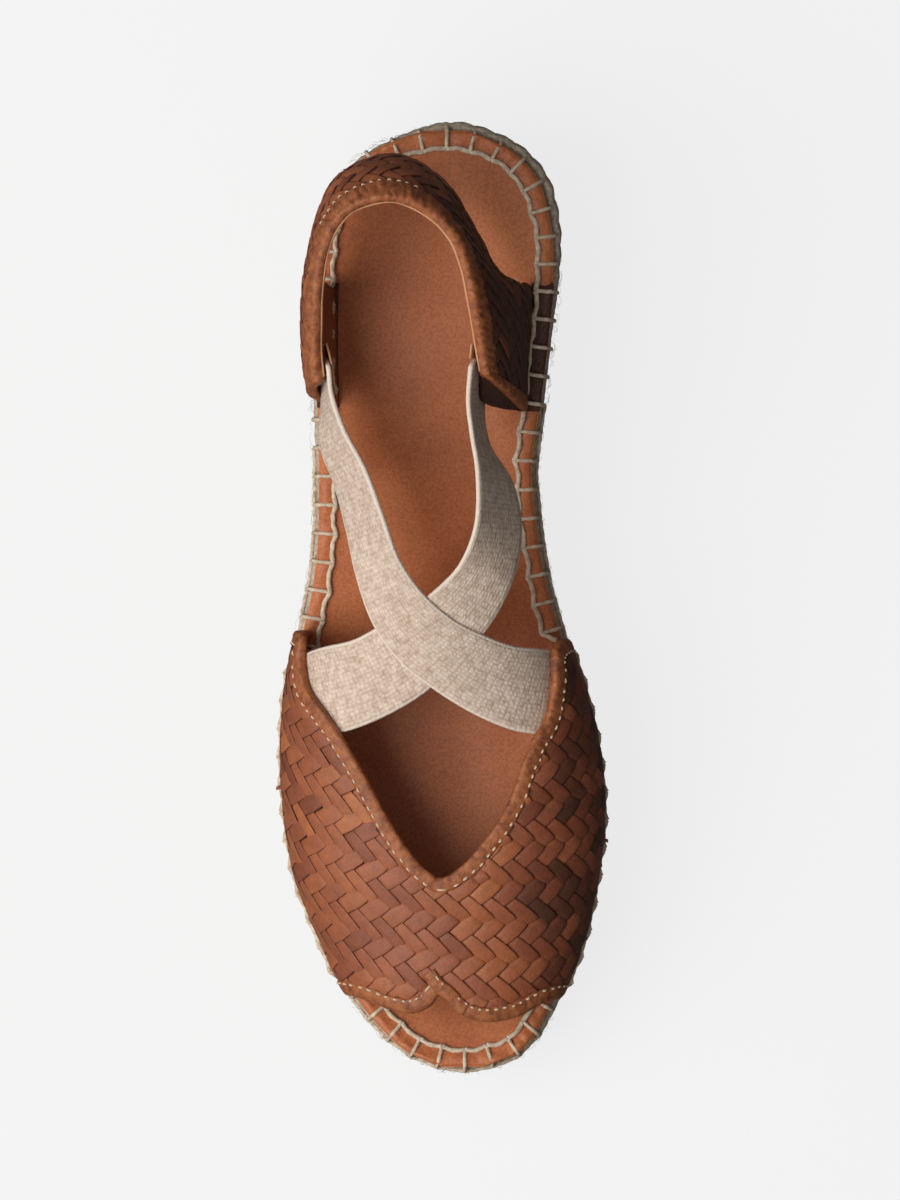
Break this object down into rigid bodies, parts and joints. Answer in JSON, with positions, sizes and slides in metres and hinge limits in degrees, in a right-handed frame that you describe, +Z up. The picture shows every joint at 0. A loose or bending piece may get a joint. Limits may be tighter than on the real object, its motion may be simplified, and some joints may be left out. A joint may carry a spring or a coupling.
{
  "type": "wedge espadrille sandal",
  "caption": "Right wedge sandal with a rope sole, a woven leather vamp with an open toe, a woven heel band standing clear behind, and crossed elastic bands over the instep.",
  "frame": {"origin": "on the ground at the middle of the flat underside of the outsole", "axes": "+Z up; +Y from toe to heel; +X towards the inner side of this right foot"},
  "size_m": [0.0869, 0.25, 0.1035],
  "materials": {
    "rubber": "matte",
    "jute": "braided jute rope",
    "insole_leather": "smooth vegetable-tanned leather",
    "woven_leather": "woven leather strips, half matte",
    "linen_elastic": "woven linen-coloured elastic"
  },
  "bodies": {
    "root": {"rubber_outsole": "rubber", "jute_wedge": "jute", "insole": "insole_leather", "vamp": "woven_leather", "heel_quarter": "woven_leather", "cross_straps": "linen_elastic"}
  },
  "joints": []
}
